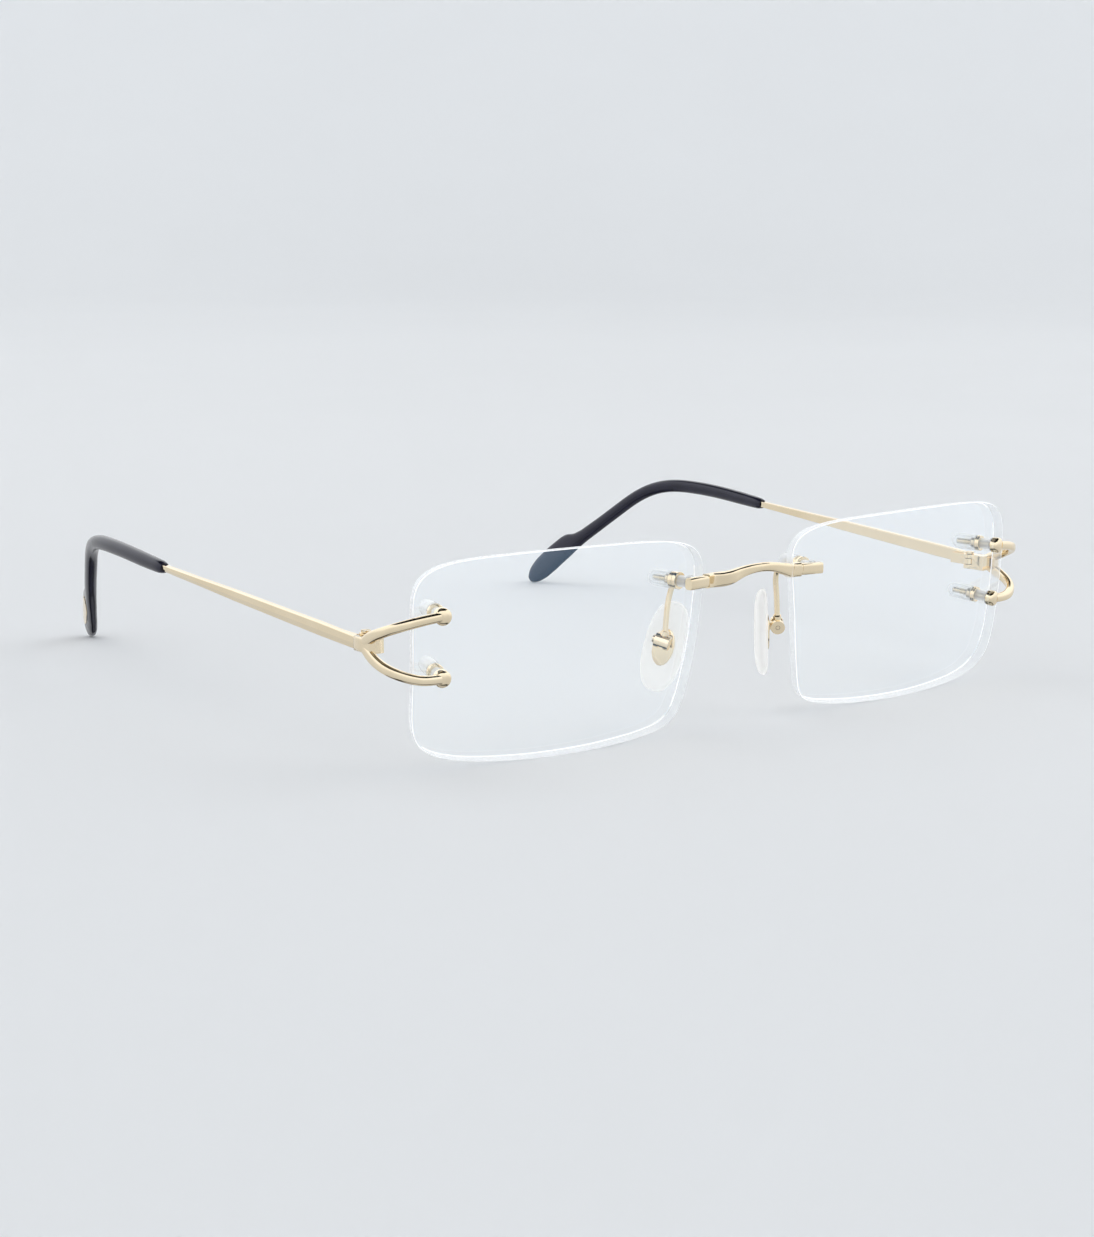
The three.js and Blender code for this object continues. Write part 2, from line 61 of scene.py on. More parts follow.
# ---- dimensions, as in the CAD ------------------------------------------
LENS_WIDTH, LENS_HEIGHT, LENSES_APART = 55.4, 32.4, 78.5
LENS_THICK, BASE_RADIUS, LENS_BEVEL = 2.0, 115.0, 0.12
SQUARENESS, NOSE_CORNER, NOSE_CUT = 6.7, 5, 0.6
TAPER, SKEW, TOP_BULGE, BOTTOM_BULGE = 0.043, 0.7, 1.3, 1.65
BEVEL_ACROSS, BEVEL_UP = 28, 17  # half sizes that share the bevel out round the outline
WRAP, TILT = math.radians(4), math.radians(5)
POST_RADIUS, CLEAR, HOLE_RADIUS = 0.5, 0.06, 1.0
POST_BACK, THREAD_START, THREAD_PITCH = 6.1, 2.4, 0.3
# Each mount: its place across and up the lens, and what else is stacked behind the lens there.
MOUNTS = {"nasal": (-25.1, 9.2, 0.85), "upper": (23.4, 8.1, 0.0), "lower": (23.2, -2.0, 0.0)}
BOSS_RADIUS, BOSS_FRONT, BOSS_BACK, DOME = 1.45, -3.15, -1.42, 0.62
BLADE_START, BLADE_HALF_THICK = Vector((71.2, 14.5, 3.1)), 0.6
JOIN_Y = 79.6
PAD_PLACE, PAD_LEAN, PAD_SPLAY = (11.1, 9.3, -3.7), math.radians(10.5), 36
PAD_HALF_WIDTH, PAD_HALF_HEIGHT = 3.75, 8.3


# ---- mesh helpers -------------------------------------------------------
def smooth_curve(knots, count):
    """Natural cubic spline through rows of numbers, spaced by their first three."""
    knots = np.array(knots, float)
    steps = np.linalg.norm(np.diff(knots[:, :3], axis=0), axis=1)
    t = np.concatenate([[0], np.cumsum(steps)])
    n = len(t)
    system = np.eye(n)
    right = np.zeros_like(knots)
    for i in range(1, n - 1):
        h0, h1 = steps[i - 1], steps[i]
        system[i, i - 1 : i + 2] = h0, 2 * (h0 + h1), h1
        right[i] = 6 * ((knots[i + 1] - knots[i]) / h1 - (knots[i] - knots[i - 1]) / h0)
    bend = np.linalg.solve(system, right)
    out = []
    for s in np.linspace(0, t[-1], count):
        i = min(int(np.searchsorted(t, s, side="right")) - 1, n - 2)
        h = steps[i]
        a, b = (t[i + 1] - s) / h, (s - t[i]) / h
        out.append(
            a * knots[i] + b * knots[i + 1]
            + ((a**3 - a) * bend[i] + (b**3 - b) * bend[i + 1]) * h * h / 6
        )
    return np.array(out)


def loop(sides, power):
    """Unit outline with squarer corners the higher its power is."""
    points = []
    for i in range(sides):
        angle = 2 * math.pi * (i + 0.5) / sides
        c, s = math.cos(angle), math.sin(angle)
        r = (abs(c) ** power + abs(s) ** power) ** (-1 / power)
        points.append((r * c, r * s))
    return points


def loft(rings):
    """Vertices and faces of a closed solid through rings that all go round one way."""
    sides = len(rings[0])
    faces = []
    for i in range(len(rings) - 1):
        for j in range(sides):
            a, b = i * sides + j, i * sides + (j + 1) % sides
            faces.append((a, b, b + sides, a + sides))
    faces.append(tuple(reversed(range(sides))))
    last = (len(rings) - 1) * sides
    faces.append(tuple(range(last, last + sides)))
    return [point for ring in rings for point in ring], faces


def sweep(stations, side=Vector((1, 0, 0))):
    """Lofts stations (at, along, loop, across, up, down[, side])."""
    rings = []
    for station in stations:
        at, along, outline, across, up, down = station[:6]
        sideways = Vector(station[6] if len(station) > 6 else side)
        sideways = (sideways - along * sideways.dot(along)).normalized()
        upwards = sideways.cross(along)
        ring = [at + sideways * a * across + upwards * b * (up if b > 0 else down) for a, b in outline]
        rings.append(ring[::-1])
    return loft(rings)


def lathe(profile, segments=48):
    """Turns a closed (radius, distance) profile round +Y."""
    points = [
        Vector((r * math.cos(2 * math.pi * i / segments), y, -r * math.sin(2 * math.pi * i / segments)))
        for r, y in profile for i in range(segments)
    ]
    faces = []
    rows = len(profile)
    for i in range(rows):
        for j in range(segments):
            a, b = i * segments + j, i * segments + (j + 1) % segments
            c, d = (b + segments) % (rows * segments), (a + segments) % (rows * segments)
            faces.append((a, b, c, d))
    return points, faces


def placed(shape, matrix):
    points, faces = shape
    return [matrix @ point for point in points], faces


def joined(*shapes):
    points, faces = [], []
    for more, their_faces in shapes:
        faces += [tuple(i + len(points) for i in face) for face in their_faces]
        points += more
    return points, faces


def tangents(points):
    """Unit directions along a row of points."""
    out = []
    for i in range(len(points)):
        before, after = points[max(i - 1, 0)], points[min(i + 1, len(points) - 1)]
        out.append((after - before).normalized())
    return out


def cleaned(bm):
    bmesh.ops.remove_doubles(bm, verts=bm.verts, dist=1e-7)
    bmesh.ops.dissolve_degenerate(bm, edges=bm.edges, dist=1e-7)
    bmesh.ops.recalc_face_normals(bm, faces=bm.faces)
    return bm


def filled(shape, side):
    """A clean mesh in its place, in metres, from a shape of the left side; the right is its mirror."""
    sign = -1 if side == "right" else 1
    bm = bmesh.new()
    verts = [bm.verts.new((Vector((p.x * sign, p.y, p.z)) + SHIFT) * MM) for p in shape[0]]
    for face in shape[1]:
        bm.faces.new([verts[i] for i in face])
    return cleaned(bm)


def finished(bm, name, body, nodes, materials, bevel=0.0, sharp=35):
    """Shades a mesh smooth with sharp edges, and makes it ride and replace."""
    mesh = bpy.data.meshes.new(name)
    bm.to_mesh(mesh)
    bm.free()
    mesh.shade_smooth()
    mesh.set_sharp_from_angle(angle=math.radians(sharp))
    piece = bpy.data.objects.new(name, mesh)
    bpy.context.scene.collection.objects.link(piece)
    for material in materials:
        mesh.materials.append(material)
    if bevel:
        modifier = piece.modifiers.new("edges", "BEVEL")
        modifier.width = bevel * MM
        modifier.segments = 3
        modifier.limit_method = "ANGLE"
        modifier.angle_limit = math.radians(sharp)
        modifier.harden_normals = True
    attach(piece, body)
    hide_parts(*nodes)
    return piece


def build(name, shape, side, body, nodes, materials, bevel=0.0, sharp=35):
    """Makes a piece from a shape of the left side, mirrored for the right."""
    return finished(filled(shape, side), name, body, nodes, materials, bevel, sharp)


def carve(piece, shape, side, operation="DIFFERENCE"):
    """Cuts a shape out of a piece, or keeps only what they share, in the mesh itself."""
    bm = filled(shape, side)
    mesh = bpy.data.meshes.new("tool")
    bm.to_mesh(mesh)
    bm.free()
    tool = bpy.data.objects.new("tool", mesh)
    bpy.context.scene.collection.objects.link(tool)
    modifier = piece.modifiers.new("carve", "BOOLEAN")
    modifier.operation = operation
    modifier.object = tool
    bpy.context.view_layer.update()
    evaluated = piece.evaluated_get(bpy.context.evaluated_depsgraph_get())
    carved = bpy.data.meshes.new_from_object(evaluated)
    piece.modifiers.remove(modifier)
    piece.data = carved
    bpy.data.objects.remove(tool)
    return piece


def refined(node, body, materials, bevel, sharp=25):
    """A copy of a CAD node with flat faces whole again and its edges rounded."""
    bm = bmesh.new()
    bm.from_mesh(frame["nodes"][node].data)
    cleaned(bm)
    bmesh.ops.dissolve_limit(
        bm, angle_limit=math.radians(1), verts=bm.verts, edges=bm.edges, use_dissolve_boundaries=False
    )
    return finished(bm, f"{node}_fine", body, [node], materials, bevel, sharp)


# ---- materials ----------------------------------------------------------
class Shader:
    """A small helper round a material's nodes."""

    def __init__(self, name):
        self.material = bpy.data.materials.new(name)
        self.material.use_nodes = True
        self.nodes = self.material.node_tree.nodes
        self.links = self.material.node_tree.links
        self.base = self.nodes["Principled BSDF"]
        self.output = self.nodes["Material Output"]
        self.where = self.nodes.new("ShaderNodeTexCoord").outputs["Object"]

    def add(self, kind, **inputs):
        node = self.nodes.new(kind)
        for key, value in inputs.items():
            self.put(node, key.replace("_", " "), value)
        return node

    def put(self, node, key, value):
        socket = node.inputs[key]
        if isinstance(value, bpy.types.NodeSocket):
            self.links.new(value, socket)
        else:
            socket.default_value = value

    def math(self, operation, one, other):
        node = self.nodes.new("ShaderNodeMath")
        node.operation = operation
        self.put(node, 0, one)
        self.put(node, 1, other)
        return node.outputs[0]

    def noise(self, scale, detail=3.0):
        node = self.add("ShaderNodeTexNoise", Vector=self.where, Scale=scale, Detail=detail)
        return node.outputs["Fac"]

    def ramp(self, factor, low, high, start=0.3, end=0.7):
        node = self.add("ShaderNodeValToRGB", Fac=factor)
        for element, place, value in zip(node.color_ramp.elements, (start, end), (low, high)):
            element.position = place
            element.color = value if len(value) == 4 else (*value, 1)
        return node.outputs["Color"]

    def grey(self, factor, low, high):
        node = self.add("ShaderNodeMapRange", Value=factor)
        self.put(node, "From Min", 0.3)
        self.put(node, "From Max", 0.7)
        self.put(node, "To Min", low)
        self.put(node, "To Max", high)
        return node.outputs["Result"]

    def bump(self, height, strength, distance):
        node = self.add("ShaderNodeBump", Height=height, Strength=strength, Distance=distance)
        return node.outputs["Normal"]

    def blend(self, factor, one, other):
        node = self.nodes.new("ShaderNodeMixShader")
        self.put(node, 0, factor)
        self.links.new(one, node.inputs[1])
        self.links.new(other, node.inputs[2])
        return node.outputs[0]

    def end(self, shader):
        self.links.new(shader, self.output.inputs["Surface"])
        return self.material


def gold():
    s = Shader("pale_gold")
    s.put(s.base, "Base Color", s.ramp(s.noise(90), (0.87, 0.735, 0.52), (0.92, 0.79, 0.58)))
    s.put(s.base, "Metallic", 1.0)
    s.put(s.base, "Roughness", s.grey(s.noise(1500), 0.07, 0.13))
    s.put(s.base, "Normal", s.bump(s.noise(5000, 5), 0.05, 0.00002))
    return s.material


def lens_face():
    """Clear, with the faint bluish reflection of a coating that grows at grazing angles."""
    s = Shader("lens_clear")
    facing = s.add("ShaderNodeLayerWeight", Blend=0.5).outputs["Facing"]
    grazing = s.math("POWER", facing, 5.0)
    clear = s.ramp(grazing, (0.998, 0.99, 0.977), (0.55, 0.57, 0.6), 0.0, 1.0)
    coat = s.ramp(s.noise(40), (0.028, 0.046, 0.066), (0.034, 0.052, 0.070))
    colour = s.add("ShaderNodeMix")
    colour.data_type = "RGBA"
    s.put(colour, 0, grazing)
    s.put(colour, 6, coat)
    s.put(colour, 7, (0.5, 0.53, 0.56, 1))
    polish = s.grey(s.noise(60), 0.0, 0.03)
    shine = s.add("ShaderNodeBsdfGlossy", Color=colour.outputs[2], Roughness=polish)
    both = s.nodes.new("ShaderNodeAddShader")
    s.links.new(s.add("ShaderNodeBsdfTransparent", Color=clear).outputs[0], both.inputs[0])
    s.links.new(shine.outputs[0], both.inputs[1])
    return s.end(both.outputs[0])


def lens_bevel():
    s = Shader("lens_polished_bevel_painted_glow")
    s.put(s.base, "Base Color", s.ramp(s.noise(900), (0.95, 0.96, 0.97), (1.0, 1.0, 1.0)))
    s.put(s.base, "Roughness", s.grey(s.noise(3000), 0.08, 0.16))
    s.put(s.base, "Normal", s.bump(s.noise(20000, 4), 0.012, 0.00001))
    # Painted glow: the bevel gives off its own faint white light, which brightens the lens rim like a
    # highlight.
    s.put(s.base, "Emission Color", (0.97, 0.98, 1.0, 1))
    s.put(s.base, "Emission Strength", 0.35)
    return s.material


def lens_edge():
    s = Shader("lens_ground_edge_painted_glow")
    s.put(s.base, "Base Color", s.ramp(s.noise(900), (0.93, 0.945, 0.96), (0.98, 0.985, 0.99)))
    s.put(s.base, "Roughness", s.grey(s.noise(3000), 0.2, 0.32))
    s.put(s.base, "Normal", s.bump(s.noise(20000, 4), 0.012, 0.00001))
    # Painted glow: the ground edge gives off its own faint light, which brightens the white line along the
    # lens edge.
    s.put(s.base, "Emission Color", (0.97, 0.965, 1.0, 1))
    s.put(s.base, "Emission Strength", 0.12)
    through = s.add("ShaderNodeBsdfTransparent", Color=(0.985, 0.99, 0.995, 1)).outputs[0]
    facing = s.add("ShaderNodeLayerWeight", Blend=0.5).outputs["Facing"]
    return s.end(s.blend(s.grey(facing, 0.3, 0.66), through, s.base.outputs[0]))


def clear_plastic():
    s = Shader("clear_plastic")
    s.put(s.base, "Base Color", s.ramp(s.noise(800), (0.92, 0.94, 0.95), (0.99, 0.99, 1.0)))
    s.put(s.base, "Roughness", s.grey(s.noise(2500), 0.03, 0.1))
    s.put(s.base, "Normal", s.bump(s.noise(2500), 0.06, 0.00003))
    through = s.add("ShaderNodeBsdfTransparent", Color=(0.99, 0.995, 1.0, 1)).outputs[0]
    facing = s.add("ShaderNodeLayerWeight", Blend=0.5).outputs["Facing"]
    return s.end(s.blend(s.grey(facing, 0.12, 0.75), through, s.base.outputs[0]))


def silicone():
    s = Shader("pad_silicone")
    s.put(s.base, "Base Color", s.ramp(s.noise(500), (0.95, 0.94, 0.92), (0.99, 0.985, 0.975)))
    s.put(s.base, "Roughness", s.grey(s.noise(2500), 0.16, 0.26))
    s.put(s.base, "Normal", s.bump(s.noise(9000), 0.03, 0.00002))
    # Painted glow: the pad gives off its own warm light, which lifts its brightness beyond what the lamps
    # give.
    s.put(s.base, "Emission Color", (1.0, 0.985, 0.955, 1))
    s.put(s.base, "Emission Strength", 0.2)
    through = s.add("ShaderNodeBsdfTransparent", Color=(0.99, 0.985, 0.975, 1)).outputs[0]
    facing = s.add("ShaderNodeLayerWeight", Blend=0.5).outputs["Facing"]
    return s.end(s.blend(s.grey(facing, 0.28, 0.46), through, s.base.outputs[0]))


def black_tip():
    s = Shader("tip_blue_black")
    s.put(s.base, "Base Color", s.ramp(s.noise(150), (0.005, 0.005, 0.014), (0.010, 0.010, 0.024)))
    s.put(s.base, "Roughness", s.grey(s.noise(900), 0.17, 0.24))
    s.put(s.base, "Normal", s.bump(s.noise(9000, 4), 0.02, 0.00001))
    s.put(s.base, "Specular IOR Level", 0.32)
    s.put(s.base, "Specular Tint", (0.82, 0.82, 1.0, 1))
    s.put(s.base, "Coat Weight", 0.35)
    s.put(s.base, "Coat Roughness", 0.06)
    return s.material


GOLD, LENS_MATERIALS = gold(), [lens_face(), lens_edge(), lens_bevel()]
CLEAR_PLASTIC, SILICONE, BLACK = clear_plastic(), silicone(), black_tip()


# ---- lens ---------------------------------------------------------------
LENS_POSE = (
    Matrix.Translation((LENSES_APART / 2, 0, 0))
    @ Matrix.Rotation(TILT, 4, "X")
    @ Matrix.Rotation(WRAP, 4, "Z")
)


def lens_point(u, v, depth):
    """A point of the lens in its own frame, across, up and depth behind its middle surface."""
    middle = Vector((u, BASE_RADIUS - math.sqrt(BASE_RADIUS**2 - u * u - v * v), v))
    return middle.lerp(Vector((0, BASE_RADIUS, 0)), depth / BASE_RADIUS)


def lens_outline(steps):
    """The lens seen from the front: a rounded rectangle, squarer and cut back at the lower nose corner."""
    points = []
    for i in range(steps):
        angle = 2 * math.pi * i / steps
        c, s = math.cos(angle), math.sin(angle)
        power = SQUARENESS + (NOSE_CORNER * (2 * c * s) ** 2 if c < 0 and s < 0 else 0)
        r = (abs(c) ** power + abs(s) ** power) ** (-1 / power)
        u, v = r * c, r * s
        bulge, cut = (TOP_BULGE, 0) if v > 0 else (BOTTOM_BULGE, NOSE_CUT * v * v * (1 - u))
        points.append((
            u * LENS_WIDTH * (1 + TAPER * v) / 2 - SKEW * v + cut,
            v * LENS_HEIGHT / 2 + bulge * (1 - u * u) * v,
        ))
    return points


def post_matrix(where):
    u, v, _ = MOUNTS[where]
    centre = lens_point(u, v, 0)
    back = (lens_point(u, v, 1) - centre).normalized()
    turn = Vector((0, 1, 0)).rotation_difference(back).to_matrix().to_4x4()
    return LENS_POSE @ Matrix.Translation(centre) @ turn


def on_post(where, distance):
    return post_matrix(where) @ Vector((0, distance, 0))


def lens(side):
    outline = lens_outline(320)
    half = LENS_THICK / 2

    def ring(share, depth, inset=0.0):
        return [
            LENS_POSE @ lens_point(
                u * share - inset * u / BEVEL_ACROSS, v * share - inset * v / BEVEL_UP, depth
            )
            for u, v in outline
        ]

    shares = [0.03, 0.15, 0.3, 0.45, 0.6, 0.75, 0.88, 0.97]
    rings = [ring(share, half) for share in shares] + [ring(1, half, LENS_BEVEL)]
    rings += [ring(1, half - LENS_BEVEL), ring(1, LENS_BEVEL - half), ring(1, -half, LENS_BEVEL)]
    rings += [ring(share, -half) for share in reversed(shares)]
    piece = build(
        f"lens_{side}_fine", loft(rings), side, "front", [f"lens_{side}"], LENS_MATERIALS
    )
    drills = [
        placed(lathe([(0, -3), (HOLE_RADIUS, -3), (HOLE_RADIUS, 3), (0, 3)], 40), post_matrix(where))
        for where in MOUNTS
    ]
    drilled = carve(piece, joined(*drills), side).data
    sign = -1 if side == "right" else 1
    out = (LENS_POSE.to_3x3() @ Vector((0, 1, 0))) * Vector((sign, 1, 1))
    for polygon in drilled.polygons:
        facing = abs(polygon.normal.dot(out))
        polygon.material_index = 0 if facing > 0.9 else 2 if facing > 0.45 else 1
    drilled.shade_smooth()
    drilled.set_sharp_from_angle(angle=math.radians(30))
    return piece


# ---- the stack on each post ---------------------------------------------
def post_profile(back):
    """A pin with a fine thread on the part behind the nut."""
    front = BOSS_FRONT + 0.5
    r = POST_RADIUS
    profile = [(0, front), (r - 0.08, front), (r, front + 0.08), (r, THREAD_START)]
    for i in range(int((back - THREAD_START - THREAD_PITCH) / THREAD_PITCH)):
        y = THREAD_START + THREAD_PITCH * i
        profile += [(r, y + 0.02), (r - 0.09, y + 0.15), (r, y + 0.28)]
    return profile + [(r, back - 0.1), (r - 0.1, back), (0, back)]


def stack(where, side):
    back_stack = MOUNTS[where][2]
    bore = POST_RADIUS + CLEAR
    face = LENS_THICK / 2
    nut = face + 0.08 + back_stack
    cap = nut + 1.0
    matrix = post_matrix(where)

    def turned(kind, profile, material, bevel):
        build(
            f"{kind}_{where}_{side}_fine", placed(lathe(profile), matrix), side, "front",
            [f"{kind}_{where}_{side}"], [material], bevel,
        )

    turned("post", post_profile(POST_BACK + back_stack), GOLD, 0)
    turned("bush", [
        (bore, BOSS_BACK + 0.04), (1.3, BOSS_BACK + 0.04), (1.3, -face - 0.04),
        (HOLE_RADIUS - CLEAR, -face - 0.04), (HOLE_RADIUS - CLEAR, face), (bore, face),
    ], CLEAR_PLASTIC, 0.05)
    turned("nut", [
        (bore, nut), (1.38, nut), (1.45, nut + 0.07), (1.45, nut + 0.3), (1.37, nut + 0.36),
        (1.37, nut + 0.46), (1.45, nut + 0.52), (1.45, nut + 0.76), (1.36, nut + 0.85),
        (0.98, nut + 0.85), (0.98, nut + 1.85), (bore, nut + 1.85),
    ], GOLD, 0.03)
    quarter = math.pi / 2
    outer = [(1.05, cap), (1.42, cap), (1.5, cap + 0.1), (1.48, cap + 2), (1.45, cap + 3.7)]
    outer += [(1.45 * math.cos(a), cap + 3.7 + 1.5 * math.sin(a)) for a in np.linspace(0.2, quarter, 9)]
    inner = [(0.62 * math.sin(a), cap + 4.0 + 0.3 * math.cos(a)) for a in np.linspace(0.01, quarter, 5)]
    mouth = [(0.62, cap + 0.92), (1.05, cap + 0.92)]
    turned("cap", outer + inner + mouth, CLEAR_PLASTIC, 0.03)


# ---- bridge -------------------------------------------------------------
def bridge():
    middle = (BOSS_FRONT + BOSS_BACK) / 2
    nasal = post_matrix("nasal")
    top = (nasal @ Vector((0, middle, 0))).z

    def on_tab(x, forward=0.0):
        return nasal @ Vector((x, middle - forward, 0))

    arch = [
        (0, -3.0, top + 1.65, 0.75, 0.8), (2.4, -2.95, top + 1.5, 0.75, 0.82),
        (4.8, -2.8, top + 1.0, 0.78, 0.98), (7, -2.6, top + 0.4, 0.8, 1.2),
        (*on_tab(-5.2, 0.1), 0.82, 1.25), (*on_tab(-2.95), 0.82, 1.22),
    ]
    whole = [(-x, *rest) for x, *rest in reversed(arch[1:])] + arch
    rows = smooth_curve(whole, 97)
    powers = [2.6 + 2.4 * min(abs(x) / 7, 1) for x in rows[:, 0]]
    points = [Vector(row[:3]) for row in rows]
    back = Vector((0, 1, 0))
    bar = sweep([
        (p, along, loop(48, power), row[3], row[4], row[4])
        for p, along, row, power in zip(points, tangents(points), rows, powers)
    ], back)
    tabs = []
    for sign in (1, -1):
        spots = [
            (-3.1, 0.74, 0.94), (-2.75, 0.74, 0.94), (-2.7, 0.8, 1.02), (1.4, 0.8, 1.02), (1.5, 0.74, 0.96),
        ]
        places = [on_tab(x) for x, _, _ in spots]
        along = (places[-1] - places[0]).normalized()
        heading = Vector((along.x, along.y * sign, along.z * sign))
        rings = []
        for place, (_, across, up) in zip(places, spots):
            place = Vector((place.x * sign, place.y, place.z))
            rings.append((place, heading, loop(48, 5), across, up, up))
        tabs.append(sweep(rings if sign > 0 else rings[::-1], back))
    build("bridge_fine", joined(bar, *tabs), "left", "front", ["bridge"], [GOLD])


# ---- forked end piece ---------------------------------------------------
# One arm from the stem round the lens edge: x, y, rise above or below the stem, and its half sizes.
ARM_PLAN = [
    (71.3, 12.2, 0.3, 0.58, 0.92), (71.5, 9.8, 1.5, 0.62, 1.0), (71.4, 7.4, 2.5, 0.68, 0.92),
    (70.6, 5.2, 3.4, 0.74, 0.88), (69.0, 3.4, 4.2, 0.78, 0.86), (66.8, 2.3, 4.8, 0.8, 0.84),
]


def arm(where):
    away = 1 if MOUNTS[where][1] > 0 else -1
    tip = on_post(where, (BOSS_FRONT + BOSS_BACK) / 2)
    plan = ARM_PLAN + [(tip.x + 0.5, tip.y, abs(tip.z - HINGE.z), 0.78, 0.82)]
    knots = [(x, y, HINGE.z + away * rise, across, up) for x, y, rise, across, up in plan]
    rows = smooth_curve(knots, 40)
    points = [Vector(row[:3]) for row in rows]
    stations = []
    for p, along, row in zip(points, tangents(points), rows):
        outwards = Vector((-along.y, along.x, 0)).normalized()
        stations.append((p, along, loop(36, 2.8), row[3], row[4], row[4], outwards))
    return sweep(stations)


def boss(where):
    r = BOSS_RADIUS
    rim = BOSS_FRONT + DOME
    dome = [(r * 0.98 * math.sin(a), rim - 0.6 * math.cos(a)) for a in np.linspace(0.01, 1.4, 9)]
    profile = [(0, BOSS_FRONT), *dome, (r, rim), (r, BOSS_BACK - 0.05), (r - 0.06, BOSS_BACK), (0, BOSS_BACK)]
    return placed(lathe(profile), post_matrix(where))


def end_piece(side):
    spots = [(14.4, 1.19, 0.54), (14.3, 1.25, 0.6), (11.6, 1.25, 0.6), (10.2, 1.35, 0.6), (9.4, 1.1, 0.56)]
    forwards = Vector((0, -1, 0))
    stem = sweep([
        (Vector((71.35, y, HINGE.z)), forwards, loop(48, 5), across, up, up) for y, up, across in spots
    ])
    shape = joined(stem, arm("upper"), arm("lower"), boss("upper"), boss("lower"))
    build(f"end_piece_{side}_fine", shape, side, "front", [f"end_piece_{side}"], [GOLD])


# ---- temple -------------------------------------------------------------
# The tip's centreline, and its half sizes along it: share, thickness, towards the front, towards the rear.
TIP_KNOTS = [
    (72.2, JOIN_Y, 6.7), (72.3, 88, 7.3), (72.1, 96, 7.8), (71.6, 103.5, 7.95), (70.8, 109.3, 7.65),
    (69.7, 114, 6.6), (68.3, 118.2, 4.6), (66.4, 122.8, 1.2), (64.2, 127.9, -2.9), (61.8, 133.2, -7.2),
    (59.5, 138.4, -11.4), (57.2, 143.6, -16.25), (56.8, 144.6, -17.25),
]
TIP_SIZES = [
    (0, 0.9, 0.9, 0.9), (0.01, 1.15, 1.15, 1.15), (0.03, 1.25, 1.25, 1.25), (0.1, 1.3, 1.35, 1.35),
    (0.25, 1.3, 1.4, 1.4), (0.4, 1.3, 1.4, 1.4), (0.55, 1.22, 1.35, 1.35), (0.68, 1.18, 1.4, 1.35),
    (0.755, 1.15, 1.45, 1.5), (0.785, 1.12, 1.6, 1.9), (0.81, 1.1, 1.85, 2.9), (0.83, 1.1, 2.1, 3.15),
    (0.9, 1.1, 2.6, 3.0), (0.945, 1.08, 2.6, 2.75), (0.975, 0.98, 2.1, 2.2), (0.992, 0.8, 1.4, 1.5),
    (1, 0.5, 0.8, 0.9),
]
# Flat outside with one bevel below it, flat inside.
BLADE_LOOP = [
    (1, -0.1), (1, 0.9), (0.84, 1), (-0.84, 1), (-1, 0.9), (-1, -0.9), (-0.84, -1), (0.4, -1),
]


def temple(side):
    end = Vector((72.2, JOIN_Y - 0.15, 6.7))
    along = (end - BLADE_START).normalized()
    heights = [(0, 2.2), (0.17, 2.35), (0.6, 1.95), (0.8, 1.5), (1, 1.2)]
    blade = sweep([
        (BLADE_START.lerp(end, share), along, BLADE_LOOP, BLADE_HALF_THICK, height / 2, height / 2)
        for share, height in heights
    ])
    name = f"temple_{side}"
    build(f"{name}_fine", blade, side, f"{side}_temple", [name], [GOLD], 0.12, 12)


INLAY_SHARE, INLAY_REAR = 0.885, 0.7
INLAY_LENGTH, INLAY_WIDTH, INLAY_FLOOR, INLAY_PROUD = 5.4, 1.6, 0.49, 0.12


def tip_shape(grow=0.0):
    """The tip's outer shape, with its sizes smoothed along it."""
    points = [Vector(row) for row in smooth_curve(TIP_KNOTS, 181)]
    shares = np.linspace(0, 1, len(points))
    table = np.array(TIP_SIZES)
    sizes = [np.interp(shares, table[:, 0], table[:, i]) for i in (1, 2, 3)]
    kernel = np.array([1, 2, 1]) / 4
    for size in sizes:
        size[1:-1] = np.convolve(size, kernel, "valid")
    return sweep([
        (p, along, loop(40, 2.3), across + grow, rear, front)
        for p, along, across, front, rear in zip(points, tangents(points), *sizes)
    ])


def tip(side):
    name = f"temple_tip_{side}"
    build(f"{name}_fine", tip_shape(), side, f"{side}_temple", [name], [BLACK], 0, 50)


def tip_inlay(side):
    """A plain oval plate let into the outer face of the flat end of a tip."""
    points = [Vector(row) for row in smooth_curve(TIP_KNOTS, 401)]
    at = round(400 * INLAY_SHARE)
    along = tangents(points)[at]
    outwards = (Vector((1, 0, 0)) - along * along.x).normalized()
    rearwards = outwards.cross(along)
    outline = [
        points[at] + along * c * INLAY_LENGTH + rearwards * (s * INLAY_WIDTH + INLAY_REAR)
        for c, s in loop(64, 2)
    ]
    prism = loft([[p + outwards * x for p in outline] for x in (INLAY_FLOOR, 3)])
    name = f"tip_inlay_{side}"
    piece = build(
        f"{name}_fine", tip_shape(INLAY_PROUD), side, f"{side}_temple", [name], [GOLD], 0, 40
    )
    carve(piece, prism, side, "INTERSECT")
    piece.data.shade_smooth()
    piece.data.set_sharp_from_angle(angle=math.radians(40))


# ---- nose pad and its arm -----------------------------------------------
PAD_POSE = (
    Matrix.Translation(PAD_PLACE)
    @ Matrix.Rotation(-PAD_LEAN, 4, "Y")
    @ Matrix.Rotation(PAD_LEAN, 4, "X")
    @ Matrix.Rotation(math.radians(180 - PAD_SPLAY), 4, "Z")
)
PIVOT_POSE = PAD_POSE @ Matrix.Translation((-2.9, 0, 1.3))


